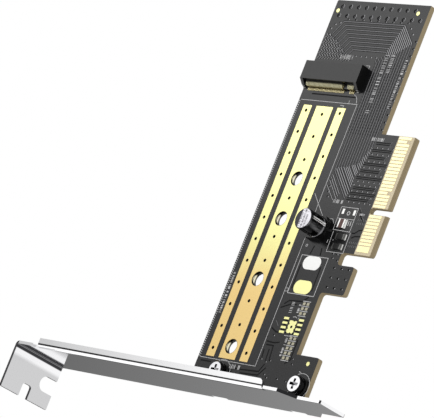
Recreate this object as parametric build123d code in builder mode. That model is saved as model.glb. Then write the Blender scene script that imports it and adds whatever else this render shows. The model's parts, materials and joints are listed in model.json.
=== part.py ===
from build123d import *
import os

# Adapter card that carries one memory module flat on a board and plugs into an x4 slot.
# The card stands as it is fitted: X runs along the board away from the bracket, Z runs up
# from the slot and the component side faces -Y. The origin is the middle of the key notch,
# on the tongue's bottom edge, at half the board's thickness. Lengths are in millimetres.

# Board outline
board_thick = 1.6
board_margin = 0.05
board_far = 60.55
board_near = -54.65
board_corner = 0.5
shoulder_z = 13.6
tongue_far = 22.05
tongue_near = -12.65
tongue_corner = 0.9
bevel_height = 0.9
bevel_depth = 0.45
key_width = 1.9
key_depth = 7.1
hook_z = 11.5
bump_far = -16.25
bump_near = -24.5
end_bump_far = -42.5
bump_z = 4.9
bump_corner = 0.7
inner_corner = 1.0

# Copper on the board
copper = 0.05
hole_gap = 0.02
finger_pitch = 1.0
finger_width = 0.7
finger_first = 1.5
finger_low = 2.0
finger_high = 6.5
finger_short = 1.25
long_fingers = 21
short_fingers = 11
stripe_near = -47.05
stripe_far = 28.4
upper_stripe_z = 45.7
lower_stripe_z = 32.28
side_stripe_height = 3.2
middle_stripe_height = 6.47
stripe_via_radius = 0.42
stripe_via_first = 26.8
stripe_via_pitch = 6.49
stripe_via_count = 12
middle_vias = (26.02, 19.28, 12.32, 0.74, -10.8, -17.91, -29.96, -37.04)

# Module seat: the standoff holes count from the end of the module's edge contacts
module_z = 38.95
module_datum = 36.6
module_lengths = (30, 42, 60, 80)
standoff_bore = 2.15

# Module socket
socket_far = 40.6
socket_near = 35.2
socket_lip = 33.8
socket_width = 22.2
socket_height = 2.75
socket_lip_height = 0.8
socket_roof = 0.75
socket_back = 1.4
socket_cheek_slope = 1.6
end_wall = 1.05
row_margin = 0.8
contact_count = 38
key_pitches = 12.25
key_post_pitches = 2
contact_width = 0.22
contact_thick = 0.15
tip_lift = 0.3
tip_length = 1.2
tip_clear = 0.6
upper_drop = 0.85
upper_slope = 1.7
upper_recess = 0.4
upper_keyed = (29, 30, 31, 32)
lower_keyed = (29, 30, 31, 32)
upper_reach = 1.4
tail_length = 0.9
tab_thick = 0.25
tab_foot = 0.6
tab_width = 0.9

# Rows of plated holes; small drillings are eight-sided
drill_sides = 8
end_row_pitch = 3.175
end_row_radius = 0.5
outer_row = (58.78, 47.25)
inner_row = (55.97, 47.41)
outer_row_count = 10
inner_row_count = 11
bump_via_radius = 0.3
bump_via_pitch = 2.8
bump_via_centre = (-20.0, 9.4)
fiducial_radius = 0.6
fiducials = ((57.33, 48.47), (58.0, 17.41), (-44.57, 8.17))

# Electrolytic capacitor
can_radius = 3.15
can_height = 7.7
can_centre = (-7.05, 22.3)
can_lip = 0.35
groove_depth = 0.3
groove_height = 0.9
cap_base = 6.6
cap_base_height = 2.0
cap_base_floor = 0.7
cap_base_chamfer = 1.3
cap_gap = 0.05
terminal_width = 0.65
terminal_thick = 0.3
terminal_reach = 0.75
terminal_inner = 1.1

# Chip parts: centre, length along Z, width along X and height
ceramic_centre = (-4.67, 15.3)
ceramic_size = (2.4, 2.5, 0.6)
resistor_centres = ((-8.4, 13.95), (-11.25, 13.95))
resistor_size = (3.2, 1.6, 0.6)
end_cap_length = 0.5
end_cap_wall = 0.03

# Bare pads
tinned_pad = (-16.8, 20.92)
gold_pad = (-23.85, 20.92)
power_pad_size = (3.85, 6.7)
power_pad_corner = 1.85
spare_pads = ((-1.07, 16.7), (-1.15, 12.42))
spare_pad_size = (1.5, 0.8)
driver_centre = (-35.05, 19.47)
driver_pitch = 1.32
driver_span = 5.77
driver_pad = (0.65, 1.9)
driver_slug = (3.6, 2.7)
driver_slug_centre = (-35.3, 19.4)
driver_slug_hole = 0.4
chip_pad = (0.8, 0.95)
chip_pad_span = 1.5
chip_pad_pitch = 1.42
upper_chip_pads = (-28.35, 17.2)
lower_chip_pads = (-38.4, 17.2)
upper_chip_rows = 3
lower_chip_rows = 5

# Bracket: one folded sheet
sheet = 0.86
bend_radius = 0.3
bracket_face = -57.15
bracket_near = -15.13
bracket_width = 18.42
tab_top = 107.92
tab_reach = 12.95
fix_slot_width = 4.42
fix_slot_offset = 6.51
fix_slot_depth = 5.8
notch_width = 3.42
notch_depth = 3.9
notch_start = 7.11
notch_corner = 0.8
taper_top = 0.6
taper_bottom = -3.5
tail_width = 10.19
tail_tip = -12.1
tail_corner = 0.6
flange_reach = 2.65
flange_low = 6.5
flange_high = 98.7
flange_corner = 1.6
relief_high = 2.0
relief_low = 0.7
ear_width = 5.6
ear_run = 2.1
ear_grade = 1.166
ear_screw = 2.05
ear_flat = 5.2
ear_corner = 1.0
joggle_radius = 1.0

# Screws that hold the board to the bracket's ears
screw_heights = (39.5, 8.35)
screw_radius = 1.48
screw_hole = 1.6
ear_hole = 1.55
head_radius = 2.7
head_height = 2.2
head_round = 0.5
shank_length = 3.4
recess_arm = 3.0
recess_width = 0.8
recess_depth = 1.2

# Planes and places that several pieces share
front = Plane.XZ.offset(board_thick / 2)
back = Plane.XZ.offset(-board_thick / 2)
front_y = -board_thick / 2
back_y = board_thick / 2
board_top = module_z + socket_width / 2 + board_margin
stripe_middle = (stripe_near + stripe_far) / 2
stripe_length = stripe_far - stripe_near
standoff_places = [(module_datum - length, module_z) for length in module_lengths]
side_via_x = [stripe_via_first - i * stripe_via_pitch for i in range(stripe_via_count)]
upper_via_places = [(x, upper_stripe_z) for x in side_via_x]
lower_via_places = [(x, lower_stripe_z) for x in side_via_x]
middle_via_places = [(x, module_z) for x in middle_vias]
outer_row_places = [(outer_row[0], outer_row[1] - i * end_row_pitch) for i in range(outer_row_count)]
inner_row_places = [(inner_row[0], inner_row[1] - i * end_row_pitch) for i in range(inner_row_count)]
bracket_far = bracket_near + bracket_width
ear_slope = ear_grade * (bracket_far - back_y - sheet)
ear_flat_start = bracket_face + ear_run + ear_slope
screw_places = [(ear_flat_start + ear_screw, z) for z in screw_heights]

os.makedirs("parts", exist_ok=True)


def nearest(shape, points):
    """Vertices of a flat shape that lie nearest to the given points."""
    return [shape.vertices().sort_by_distance(Vector(x, y))[0] for x, y in points]


def save(piece, label):
    """Label a finished piece and write it to its own file."""
    piece.part.label = label
    export_step(piece.part, f"parts/{label}.step")


# Board with its stepped lower edge, key notch, bevelled tongue and every drilled hole
bump_corners = [(bump_far, bump_z), (bump_near, bump_z), (end_bump_far, bump_z), (board_near, bump_z)]
inner_corners = [(tongue_near, hook_z), (bump_far, hook_z), (bump_near, shoulder_z)]
with BuildPart() as pcb:
    with BuildSketch(Plane.XZ) as board_face:
        with BuildLine():
            Polyline(
                (board_near, board_top),
                (board_far, board_top),
                (board_far, shoulder_z),
                (tongue_far, shoulder_z),
                (tongue_far, 0),
                (tongue_near, 0),
                (tongue_near, hook_z),
                (bump_far, hook_z),
                (bump_far, bump_z),
                (bump_near, bump_z),
                (bump_near, shoulder_z),
                (end_bump_far, shoulder_z),
                (end_bump_far, bump_z),
                (board_near, bump_z),
                close=True,
            )
        make_face()
        fillet(nearest(board_face, [(tongue_far, 0), (tongue_near, 0)]), tongue_corner)
        fillet(nearest(board_face, bump_corners), bump_corner)
        fillet(nearest(board_face, inner_corners), inner_corner)
        fillet(nearest(board_face, [(board_near, board_top), (board_far, board_top)]), board_corner)
        with Locations((0, (key_depth - key_width / 2) / 2)):
            Rectangle(key_width, key_depth - key_width / 2, mode=Mode.SUBTRACT)
        with Locations((0, key_depth - key_width / 2)):
            Circle(key_width / 2, mode=Mode.SUBTRACT)
        with Locations(standoff_places):
            Circle(standoff_bore, mode=Mode.SUBTRACT)
        with Locations(screw_places):
            Circle(screw_hole, mode=Mode.SUBTRACT)
        with Locations(upper_via_places, lower_via_places, middle_via_places):
            RegularPolygon(stripe_via_radius, drill_sides, mode=Mode.SUBTRACT)
        with Locations(outer_row_places, inner_row_places):
            RegularPolygon(end_row_radius, drill_sides, mode=Mode.SUBTRACT)
        with Locations(bump_via_centre):
            with GridLocations(bump_via_pitch, bump_via_pitch, 3, 3):
                RegularPolygon(bump_via_radius, drill_sides, mode=Mode.SUBTRACT)
    extrude(amount=board_thick / 2, both=True)
    with BuildSketch(Plane.YZ.offset(tongue_near)):
        with BuildLine():
            Polyline(
                (front_y, 0),
                (front_y, bevel_height),
                (front_y + bevel_depth, 0),
                close=True,
            )
        make_face()
        mirror(about=Plane.YZ)
    extrude(amount=tongue_far - tongue_near, mode=Mode.SUBTRACT)
save(pcb, "pcb")

# Edge fingers: the two nearest the bracket share one pad on the front
finger_length = finger_high - finger_low
finger_middle = (finger_high + finger_low) / 2
far_fingers = [finger_first + i * finger_pitch for i in range(long_fingers)]
near_fingers = [-finger_first - i * finger_pitch for i in range(short_fingers)]
front_short = (far_fingers[-2], far_fingers[4])
back_short = (near_fingers[-1],)
short_length = finger_length - finger_short
short_middle = finger_middle + finger_short / 2
wide_finger = (near_fingers[-1] + near_fingers[-2]) / 2
front_long = [x for x in far_fingers + near_fingers[:-2] if x not in front_short]
back_long = [x for x in far_fingers + near_fingers if x not in back_short]
with BuildPart() as edge_fingers_front:
    with BuildSketch(front):
        with Locations([(x, finger_middle) for x in front_long]):
            Rectangle(finger_width, finger_length)
        with Locations([(x, short_middle) for x in front_short]):
            Rectangle(finger_width, short_length)
        with Locations((wide_finger, finger_middle)):
            Rectangle(finger_width + finger_pitch, finger_length)
    extrude(amount=copper)
save(edge_fingers_front, "edge_fingers_front")

with BuildPart() as edge_fingers_back:
    with BuildSketch(back):
        with Locations([(x, finger_middle) for x in back_long]):
            Rectangle(finger_width, finger_length)
        with Locations([(x, short_middle) for x in back_short]):
            Rectangle(finger_width, short_length)
    extrude(amount=-copper)
save(edge_fingers_back, "edge_fingers_back")

# Bare copper stripes that take the module's heat, drilled with the board's vias
with BuildPart() as thermal_stripes:
    with BuildSketch(front):
        with Locations((stripe_middle, upper_stripe_z), (stripe_middle, lower_stripe_z)):
            Rectangle(stripe_length, side_stripe_height)
        with Locations((stripe_middle, module_z)):
            Rectangle(stripe_length, middle_stripe_height)
        with Locations(upper_via_places, lower_via_places, middle_via_places):
            RegularPolygon(stripe_via_radius, drill_sides, mode=Mode.SUBTRACT)
        with Locations(standoff_places):
            Circle(standoff_bore, mode=Mode.SUBTRACT)
    extrude(amount=copper)
save(thermal_stripes, "thermal_stripes")

# Housing of the module socket: a section along Z, closed by a cheek at each end. The contacts
# share the slot's width evenly, and the key's post stands where some are left out
slot_width = socket_width - 2 * end_wall
contact_row = slot_width - 2 * row_margin
contact_pitch = contact_row / (contact_count - 1)
key_post = key_post_pitches * contact_pitch
post_z = module_z - key_pitches * contact_pitch
roof_y = front_y - socket_height
slot_roof_y = roof_y + socket_roof
lip_y = front_y - socket_lip_height
slot_back = socket_far - socket_back
with BuildPart() as socket_housing:
    with BuildSketch(Plane.XY.offset(module_z)):
        with BuildLine():
            Polyline(
                (socket_lip, front_y),
                (socket_far, front_y),
                (socket_far, roof_y),
                (socket_near, roof_y),
                (socket_near, slot_roof_y),
                (slot_back, slot_roof_y),
                (slot_back, lip_y),
                (socket_lip, lip_y),
                close=True,
            )
        make_face()
    extrude(amount=socket_width / 2, both=True)
    with BuildSketch(Plane.XY.offset(module_z - socket_width / 2)) as cheek:
        with BuildLine():
            Polyline(
                (socket_lip, front_y),
                (socket_far, front_y),
                (socket_far, roof_y),
                (socket_near, roof_y),
                (socket_lip, roof_y + socket_cheek_slope),
                close=True,
            )
        make_face()
    extrude(amount=end_wall)
    mirror(about=Plane.XY.offset(module_z))
    with BuildSketch(Plane.XY.offset(post_z)):
        with Locations(((socket_near + slot_back) / 2, (slot_roof_y + lip_y) / 2)):
            Rectangle(slot_back - socket_near, lip_y - slot_roof_y)
    extrude(amount=key_post / 2, both=True)
    with BuildSketch(Plane.YZ.offset(slot_back)):
        with Locations((slot_roof_y + contact_thick / 2 + hole_gap / 2, module_z)):
            Rectangle(contact_thick + hole_gap, contact_row + contact_pitch)
        with Locations((slot_roof_y + contact_thick / 2, post_z)):
            Rectangle(contact_thick + 2 * hole_gap, key_post, mode=Mode.SUBTRACT)
    extrude(amount=socket_back, mode=Mode.SUBTRACT)
    with BuildSketch(Plane.YZ.offset(socket_far)):
        with Locations(((slot_roof_y + front_y) / 2, module_z)):
            Rectangle(front_y - slot_roof_y, contact_row + contact_pitch)
    extrude(amount=-upper_recess, mode=Mode.SUBTRACT)
save(socket_housing, "socket_housing")

# Spring contacts under the socket's roof. They slope down to their tips in front, and behind they
# drop to the board in a recess of the housing's back
upper_start = socket_near - upper_reach
tail_back = socket_far - upper_recess + contact_thick
with BuildPart() as upper_contact:
    with BuildSketch(Plane.XY):
        with BuildLine() as spring:
            Polyline(
                (upper_start, slot_roof_y + upper_drop),
                (upper_start + upper_slope, slot_roof_y),
                (tail_back, slot_roof_y),
                (tail_back, front_y - contact_thick),
                (tail_back + tail_length, front_y - contact_thick),
            )
            offset(spring.line, amount=contact_thick, kind=Kind.INTERSECTION, side=Side.LEFT)
        make_face()
    extrude(amount=contact_width / 2, both=True)
upper_places = [contact_row / 2 - i * contact_pitch for i in range(contact_count) if i not in upper_keyed]
with BuildPart() as socket_upper_contacts:
    with Locations([(0, 0, module_z + z) for z in upper_places]):
        add(upper_contact.part)
save(socket_upper_contacts, "socket_upper_contacts")

# Spring contacts on the socket's lower lip: over its front and down to the board
with BuildPart() as lower_contact:
    with BuildSketch(Plane.XY):
        with BuildLine() as spring:
            Polyline(
                (slot_back - tip_clear, lip_y - tip_lift),
                (slot_back - tip_clear - tip_length, lip_y),
                (socket_lip, lip_y),
                (socket_lip, front_y),
                (socket_lip - contact_thick - tail_length, front_y),
            )
            offset(spring.line, amount=contact_thick, kind=Kind.INTERSECTION, side=Side.LEFT)
        make_face()
    extrude(amount=contact_width / 2, both=True)
lower_row = contact_row - contact_pitch
lower_places = [lower_row / 2 - i * contact_pitch for i in range(contact_count - 1) if i not in lower_keyed]
with BuildPart() as socket_lower_contacts:
    with Locations([(0, 0, module_z + z) for z in lower_places]):
        add(lower_contact.part)
save(socket_lower_contacts, "socket_lower_contacts")

# Solder tabs in front of the socket's end cheeks
with BuildPart() as solder_tab:
    with BuildSketch(Plane.XY):
        with BuildLine() as tab_line:
            Polyline(
                (socket_lip - tab_foot, front_y),
                (socket_lip, front_y),
                (socket_lip, lip_y),
            )
            offset(tab_line.line, amount=tab_thick, kind=Kind.INTERSECTION, side=Side.RIGHT)
        make_face()
    extrude(amount=tab_width / 2, both=True)
tab_offset = (socket_width - tab_width) / 2
with BuildPart() as socket_solder_tabs:
    with Locations((0, 0, module_z - tab_offset), (0, 0, module_z + tab_offset)):
        add(solder_tab.part)
save(socket_solder_tabs, "socket_solder_tabs")

# Moulded base of the electrolytic capacitor: floor, upstanding corners and two chamfers
can_x, can_z = can_centre
half_base = cap_base / 2
terminal_offset = terminal_inner + (half_base + terminal_reach - terminal_inner) / 2
terminal_length = half_base + terminal_reach - terminal_inner
chamfered = [(can_x - half_base, can_z - half_base), (can_x + half_base, can_z - half_base)]
with BuildPart() as capacitor_base:
    with BuildSketch(front) as base_face:
        with Locations(can_centre):
            Rectangle(cap_base, cap_base)
        chamfer(nearest(base_face, chamfered), cap_base_chamfer)
    extrude(amount=cap_base_height)
    with BuildSketch(front.offset(cap_base_floor)):
        with Locations(can_centre):
            Circle(can_radius + cap_gap)
    extrude(amount=cap_base_height, mode=Mode.SUBTRACT)
    with BuildSketch(front):
        with Locations((can_x, can_z - terminal_offset), (can_x, can_z + terminal_offset)):
            Rectangle(terminal_width + cap_gap, terminal_length)
    extrude(amount=terminal_thick, mode=Mode.SUBTRACT)
save(capacitor_base, "capacitor_base")

# Drawn aluminium can: bevelled top edge and a rolled groove above the base
can_low = cap_base_floor
groove_low = cap_base_height
groove_middle = groove_low + groove_height / 2
groove_high = groove_low + groove_height
with BuildPart() as capacitor_can:
    with BuildSketch(Plane.YZ.offset(can_x)) as can_section:
        with BuildLine():
            Polyline(
                (front_y - can_low, can_z),
                (front_y - can_low, can_z + can_radius),
                (front_y - groove_low, can_z + can_radius),
                (front_y - groove_middle, can_z + can_radius - groove_depth),
                (front_y - groove_high, can_z + can_radius),
                (front_y - can_height, can_z + can_radius),
                (front_y - can_height, can_z),
                close=True,
            )
        make_face()
        chamfer(nearest(can_section, [(front_y - can_height, can_z + can_radius)]), can_lip)
    revolve(axis=Axis((can_x, 0, can_z), (0, 1, 0)))
save(capacitor_can, "capacitor_can")

with BuildPart() as capacitor_terminals:
    with BuildSketch(front):
        with Locations((can_x, can_z - terminal_offset), (can_x, can_z + terminal_offset)):
            Rectangle(terminal_width, terminal_length)
    extrude(amount=terminal_thick)
save(capacitor_terminals, "capacitor_terminals")


def chip_body(size):
    """Body of a chip part, lying on the front plane inside its end caps."""
    length, width, height = size
    with BuildPart() as body:
        with BuildSketch(front.offset(end_cap_wall)):
            Rectangle(width - 2 * end_cap_wall, length - 2 * end_cap_wall)
        extrude(amount=height - 2 * end_cap_wall)
    return body.part


def chip_caps(size):
    """Both end caps of a chip part: thin five-sided cups over the body's ends."""
    length, width, height = size
    with BuildPart() as caps:
        with BuildSketch(front):
            with Locations((0, (end_cap_length - length) / 2), (0, (length - end_cap_length) / 2)):
                Rectangle(width, end_cap_length)
        extrude(amount=height)
        add(chip_body(size), mode=Mode.SUBTRACT)
    return caps.part


ceramic_place = Location((ceramic_centre[0], 0, ceramic_centre[1]))
resistor_places = [Location((x, 0, z)) for x, z in resistor_centres]
with BuildPart() as ceramic_capacitor_body:
    with Locations(ceramic_place):
        add(chip_body(ceramic_size))
save(ceramic_capacitor_body, "ceramic_capacitor_body")

with BuildPart() as ceramic_capacitor_ends:
    with Locations(ceramic_place):
        add(chip_caps(ceramic_size))
save(ceramic_capacitor_ends, "ceramic_capacitor_ends")

with BuildPart() as resistor_bodies:
    with Locations(resistor_places):
        add(chip_body(resistor_size))
save(resistor_bodies, "resistor_bodies")

with BuildPart() as resistor_ends:
    with Locations(resistor_places):
        add(chip_caps(resistor_size))
save(resistor_ends, "resistor_ends")

# Bare pads: two power pads, the empty parts' pads and the round sighting marks
with BuildPart() as power_pad_tinned:
    with BuildSketch(front):
        with Locations(tinned_pad):
            RectangleRounded(*power_pad_size, power_pad_corner)
    extrude(amount=copper)
save(power_pad_tinned, "power_pad_tinned")

with BuildPart() as power_pad_gold:
    with BuildSketch(front):
        with Locations(gold_pad):
            RectangleRounded(*power_pad_size, power_pad_corner)
    extrude(amount=copper)
save(power_pad_gold, "power_pad_gold")

with BuildPart() as spare_part_pads:
    with BuildSketch(front):
        with Locations(spare_pads):
            Rectangle(*spare_pad_size)
    extrude(amount=copper)
save(spare_part_pads, "spare_part_pads")

with BuildPart() as driver_pads:
    with BuildSketch(front):
        with Locations(driver_centre):
            with GridLocations(driver_pitch, driver_span, 4, 2):
                Rectangle(*driver_pad)
        with Locations(driver_slug_centre):
            Rectangle(*driver_slug)
            Circle(driver_slug_hole, mode=Mode.SUBTRACT)
    extrude(amount=copper)
save(driver_pads, "driver_pads")

with BuildPart() as chip_pads:
    with BuildSketch(front):
        for (first_x, middle_z), rows in ((upper_chip_pads, upper_chip_rows), (lower_chip_pads, lower_chip_rows)):
            row_x = [first_x - i * chip_pad_pitch for i in range(rows)]
            with Locations([(x, middle_z) for x in row_x]):
                with GridLocations(1, chip_pad_span, 1, 2):
                    Rectangle(*chip_pad)
    extrude(amount=copper)
save(chip_pads, "chip_pads")

with BuildPart() as sighting_marks:
    with BuildSketch(front):
        with Locations(fiducials):
            Circle(fiducial_radius)
    extrude(amount=copper)
save(sighting_marks, "sighting_marks")

# Bracket: folded from one sheet. The side view gives the face and the top tab
bracket_middle = bracket_near + bracket_width / 2
outer_bend = bend_radius + sheet
fold_strip = outer_bend + bend_radius
slot_x = bracket_face - fix_slot_offset
slot_middle_y = bracket_far - fix_slot_depth + fix_slot_width / 2
notch_y = bracket_near + notch_start + notch_width / 2
tab_end = bracket_face - tab_reach
tail_near = bracket_middle - tail_width / 2
tail_far = bracket_middle + tail_width / 2
flange_end = bracket_face + flange_reach
ear_end = ear_flat_start + ear_flat
with BuildPart() as bracket:
    with BuildSketch(Plane.XZ.offset(-bracket_far)):
        with BuildLine() as side_line:
            FilletPolyline(
                (bracket_face, tail_tip),
                (bracket_face, tab_top - sheet),
                (tab_end, tab_top - sheet),
                radius=bend_radius,
            )
            offset(side_line.line, amount=sheet, side=Side.RIGHT)
        make_face()
    extrude(amount=bracket_width)
    # The face tapers to the tail that drops behind the chassis edge
    with BuildSketch(Plane.YZ.offset(bracket_face)):
        with BuildLine():
            Polyline(
                (bracket_near, taper_top),
                (tail_near, taper_bottom),
                (tail_near, tail_tip),
                (bracket_near, tail_tip),
                close=True,
            )
        make_face()
        mirror(about=Plane.YZ.offset(bracket_middle))
    extrude(amount=sheet, mode=Mode.SUBTRACT)
    tail_edges = bracket.edges().filter_by(Axis.X).group_by(Axis.Z)[0]
    fillet(tail_edges, tail_corner)
    # Strips along both long edges that the flange and the ears are folded from
    with BuildSketch(Plane.YZ.offset(bracket_face)):
        with Locations((bracket_near, flange_low - relief_low)):
            Rectangle(
                fold_strip,
                flange_high - flange_low + relief_high + relief_low,
                align=Align.MIN,
            )
        with Locations([(bracket_far, z) for z in screw_heights]):
            Rectangle(fold_strip, ear_width, align=(Align.MAX, Align.CENTER))
    extrude(amount=sheet, mode=Mode.SUBTRACT)
    with BuildSketch(Plane.XY.offset(flange_low)):
        with BuildLine() as flange_line:
            FilletPolyline(
                (bracket_face, bracket_near + fold_strip),
                (bracket_face, bracket_near),
                (flange_end, bracket_near),
                radius=outer_bend,
            )
            offset(flange_line.line, amount=sheet, side=Side.LEFT)
        make_face()
    extrude(amount=flange_high - flange_low)
    flange_tips = bracket.edges().filter_by(Axis.Y).sort_by_distance((flange_end, bracket_near, flange_low))
    fillet(flange_tips[0], flange_corner)
    # Ears: folded off the far edge, then stepped in to lie on the back of the board
    with BuildSketch(*[Plane.XY.offset(z - ear_width / 2) for z in screw_heights]):
        with BuildLine() as ear_line:
            FilletPolyline(
                (bracket_face, bracket_far - fold_strip),
                (bracket_face, bracket_far),
                (bracket_face + ear_run, bracket_far),
                (ear_flat_start, back_y + sheet),
                (ear_end, back_y + sheet),
                radius=(outer_bend, joggle_radius, bend_radius),
            )
            offset(ear_line.line, amount=sheet, side=Side.RIGHT)
        make_face()
    extrude(amount=ear_width)
    ear_tips = bracket.edges().filter_by(Axis.Y).group_by(Axis.X)[-1]
    fillet(ear_tips, ear_corner)
    with BuildSketch(back):
        with Locations(screw_places):
            Circle(ear_hole)
    extrude(amount=-sheet, mode=Mode.SUBTRACT)
    # The top tab has a slot for the chassis screw and a notch for the locating lug
    with BuildSketch(Plane.XY.offset(tab_top)) as tab_cuts:
        with Locations((slot_x, slot_middle_y)):
            Circle(fix_slot_width / 2)
            Rectangle(fix_slot_width, bracket_width, align=(Align.CENTER, Align.MIN))
        with Locations((tab_end, notch_y)):
            Rectangle(notch_depth, notch_width, align=(Align.MIN, Align.CENTER))
        notch_low = (tab_end + notch_depth, notch_y - notch_width / 2)
        notch_high = (tab_end + notch_depth, notch_y + notch_width / 2)
        fillet(nearest(tab_cuts, [notch_low, notch_high]), notch_corner)
    extrude(amount=-sheet, mode=Mode.SUBTRACT)
save(bracket, "bracket")

# Pan head screw: revolved head and shank, with a tapered cross recess
shank_end = front_y + shank_length
with BuildPart() as screw:
    with BuildSketch(Plane.YZ) as screw_section:
        with BuildLine():
            Polyline(
                (front_y - head_height, 0),
                (front_y - head_height, head_radius),
                (front_y, head_radius),
                (front_y, screw_radius),
                (shank_end, screw_radius),
                (shank_end, 0),
                close=True,
            )
        make_face()
        chamfer(nearest(screw_section, [(front_y - head_height, head_radius)]), head_round)
    revolve(axis=Axis.Y)
    with BuildSketch(front.offset(head_height)):
        Rectangle(recess_arm, recess_width)
        Rectangle(recess_width, recess_arm)
    extrude(amount=-recess_depth, taper=15, mode=Mode.SUBTRACT)
with BuildPart() as bracket_screws:
    with Locations([(x, 0, z) for x, z in screw_places]):
        add(screw.part)
save(bracket_screws, "bracket_screws")
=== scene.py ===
# %% [markdown]
# # An adapter card for one memory module
# A flat dark circuit board stands in its slot, with a folded steel bracket at one end. The solids
# come ready packed as a fixed frame. Blender's share is what a quick solid leaves out: copper
# under the mask, white print, plated holes, solder, and the finish of every surface.

import json
import math
import random

import bmesh
import bpy
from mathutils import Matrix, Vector


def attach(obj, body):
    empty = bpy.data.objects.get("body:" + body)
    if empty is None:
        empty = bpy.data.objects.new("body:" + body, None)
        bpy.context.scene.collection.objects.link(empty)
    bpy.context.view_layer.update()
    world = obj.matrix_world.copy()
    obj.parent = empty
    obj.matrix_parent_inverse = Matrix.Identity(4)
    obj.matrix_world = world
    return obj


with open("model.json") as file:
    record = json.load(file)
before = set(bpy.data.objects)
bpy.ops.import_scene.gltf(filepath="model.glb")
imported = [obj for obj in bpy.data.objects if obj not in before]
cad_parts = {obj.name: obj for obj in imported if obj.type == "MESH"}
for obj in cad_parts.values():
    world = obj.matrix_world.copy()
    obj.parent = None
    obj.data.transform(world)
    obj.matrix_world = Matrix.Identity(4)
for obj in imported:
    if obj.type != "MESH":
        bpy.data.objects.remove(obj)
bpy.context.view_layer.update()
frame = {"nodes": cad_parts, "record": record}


nodes = frame["nodes"]

# %% [markdown]
# Shader nodes are easier to read as sums. One small class wraps an output socket: sums, products
# and comparisons written on it add Math nodes, and `make` adds any other node. Settings are set
# before the sockets, because a setting such as a data type changes which sockets exist.

# %% A wire between shader nodes


class Wire:
    """An output in a node tree. Arithmetic on wires adds the Math nodes."""

    def __init__(self, tree, socket=None):
        self.tree = tree
        self.socket = socket

    def make(self, kind, settings={}, inputs={}, output=0):
        """Adds a node of any type: its settings first, then its values and links."""
        node = self.tree.nodes.new(kind)
        for name, value in settings.items():
            setattr(node, name, value)
        for name, value in inputs.items():
            if isinstance(value, Wire):
                self.tree.links.new(value.socket, node.inputs[name])
            else:
                node.inputs[name].default_value = value
        return Wire(self.tree, node.outputs[output] if node.outputs else None)

    def math(self, operation, *values):
        return self.make("ShaderNodeMath", {"operation": operation}, dict(enumerate(values)))

    def __add__(self, other):
        return self.math("ADD", self, other)

    __radd__ = __add__

    def __mul__(self, other):
        return self.math("MULTIPLY", self, other)

    __rmul__ = __mul__

    def __sub__(self, other):
        return self.math("SUBTRACT", self, other)

    def __rsub__(self, other):
        return self.math("SUBTRACT", other, self)

    def __gt__(self, other):
        return self.math("GREATER_THAN", self, other)

    def __lt__(self, other):
        return self.math("LESS_THAN", self, other)

    def __abs__(self):
        return self.math("ABSOLUTE", self)

    def ramp(self, low, high, out_low=0.0, out_high=1.0):
        """Eases from out_low to out_high while the value goes from low to high."""
        span = {"Value": self, "From Min": low, "From Max": high,
                "To Min": out_low, "To Max": out_high}
        return self.make("ShaderNodeMapRange", {"interpolation_type": "SMOOTHSTEP"}, span)

    def fall(self, low, high):
        """Eases from 1 to 0 while the value goes from low to high."""
        return self.ramp(low, high, 1.0, 0.0)

    def between(self, low, high, soft=0.02):
        """1 where the value lies between low and high, with soft ends."""
        return self.ramp(low - soft, low + soft) * self.fall(high - soft, high + soft)

    def blend(self, first, second):
        """Mixes two colours: this wire is 0 for the first and 1 for the second."""
        return self.make("ShaderNodeMix", {"data_type": "RGBA"}, {0: self, 6: first, 7: second}, 2)


def rgb(red, green, blue):
    """A screen colour, 0 to 255, as the linear colour that shaders want."""
    shares = [n / 255 for n in (red, green, blue)]
    linear = [((n + 0.055) / 1.055) ** 2.4 if n > 10 / 255 else n / 12.92 for n in shares]
    return (*linear, 1.0)


print("wire ready; mid grey is", [round(n, 3) for n in rgb(128, 128, 128)])

# %% [markdown]
# The photograph was taken from below and in front, with a long lens, so the card hardly tapers.
# The camera's place was worked out from known sizes: the finger pitch, the bracket and the
# standoff holes.

# %% Camera
CAMERA_PLACE = (-0.2186993, -0.6326710, -0.6673209)
CAMERA_TURN = (173.1716, 41.8611, 61.1524)
CAMERA_LENS = 295.725
SENSOR_WIDTH = 36.0
NEAREST = 0.01

lens = bpy.data.cameras.new("card_camera")
lens.lens = CAMERA_LENS
lens.sensor_width = SENSOR_WIDTH
lens.clip_start = NEAREST
camera = bpy.data.objects.new("card_camera", lens)
camera.location = CAMERA_PLACE
camera.rotation_euler = [math.radians(n) for n in CAMERA_TURN]
bpy.context.scene.collection.objects.link(camera)
bpy.context.scene.camera = camera
print("camera", tuple(round(n, 3) for n in camera.location), "lens", CAMERA_LENS)

# %% [markdown]
# Bare metal shows what stands around it, so the room matters more than the lamps. A picture of a
# studio could go round the card, but bands worked out from the direction alone are easier to aim.
# The room is soft and white, with two dim parts: one high up behind the card, which the bracket's
# outer face reflects as grey, and one above it, which shades the top of the bracket's flange. Two
# thin dark flags with a white gap between them draw the lines along the bracket's fold, and a dim
# belt at eye level gives upright metal some depth. The camera itself sees plain white.

# %% World
FRONT_ROOM, FRONT_BAND, FRONT_TOP = 0.92, 1.6, 0.45
BACK_ROOM, BACK_DIM, BACK_TOP = 0.98, 0.33, 0.356
BEND_WHITE = 1.15
FLAG = 0.04
BELT_DIM = 0.3
# Where each part begins and ends, as parts of a direction of length 1
BEHIND = (0.1, 0.5)
BAND_RISE, TOP_FALL, BACK_FALL = (0.5, 0.68), (0.66, 0.8), (-0.2, 0.62)
ABOVE = (0.6, 0.68)
BEND_SIDE, BEND_DEPTH = (-0.46, -0.38), (0.4, 0.48)
FRONT_FLAG_FROM, FRONT_FLAG_TO, FRONT_FLAG_DEPTH = (-0.4, -0.34), (0.02, 0.1), (-0.3, -0.2)
BACK_FLAG_FROM, BACK_FLAG_TO, BACK_FLAG_DEPTH = (-0.54, -0.48), (-0.3, -0.25), (0.4, 0.48)
BELT_FROM, BELT_TO = (-0.65, -0.25), (0.05, 0.45)

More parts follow.
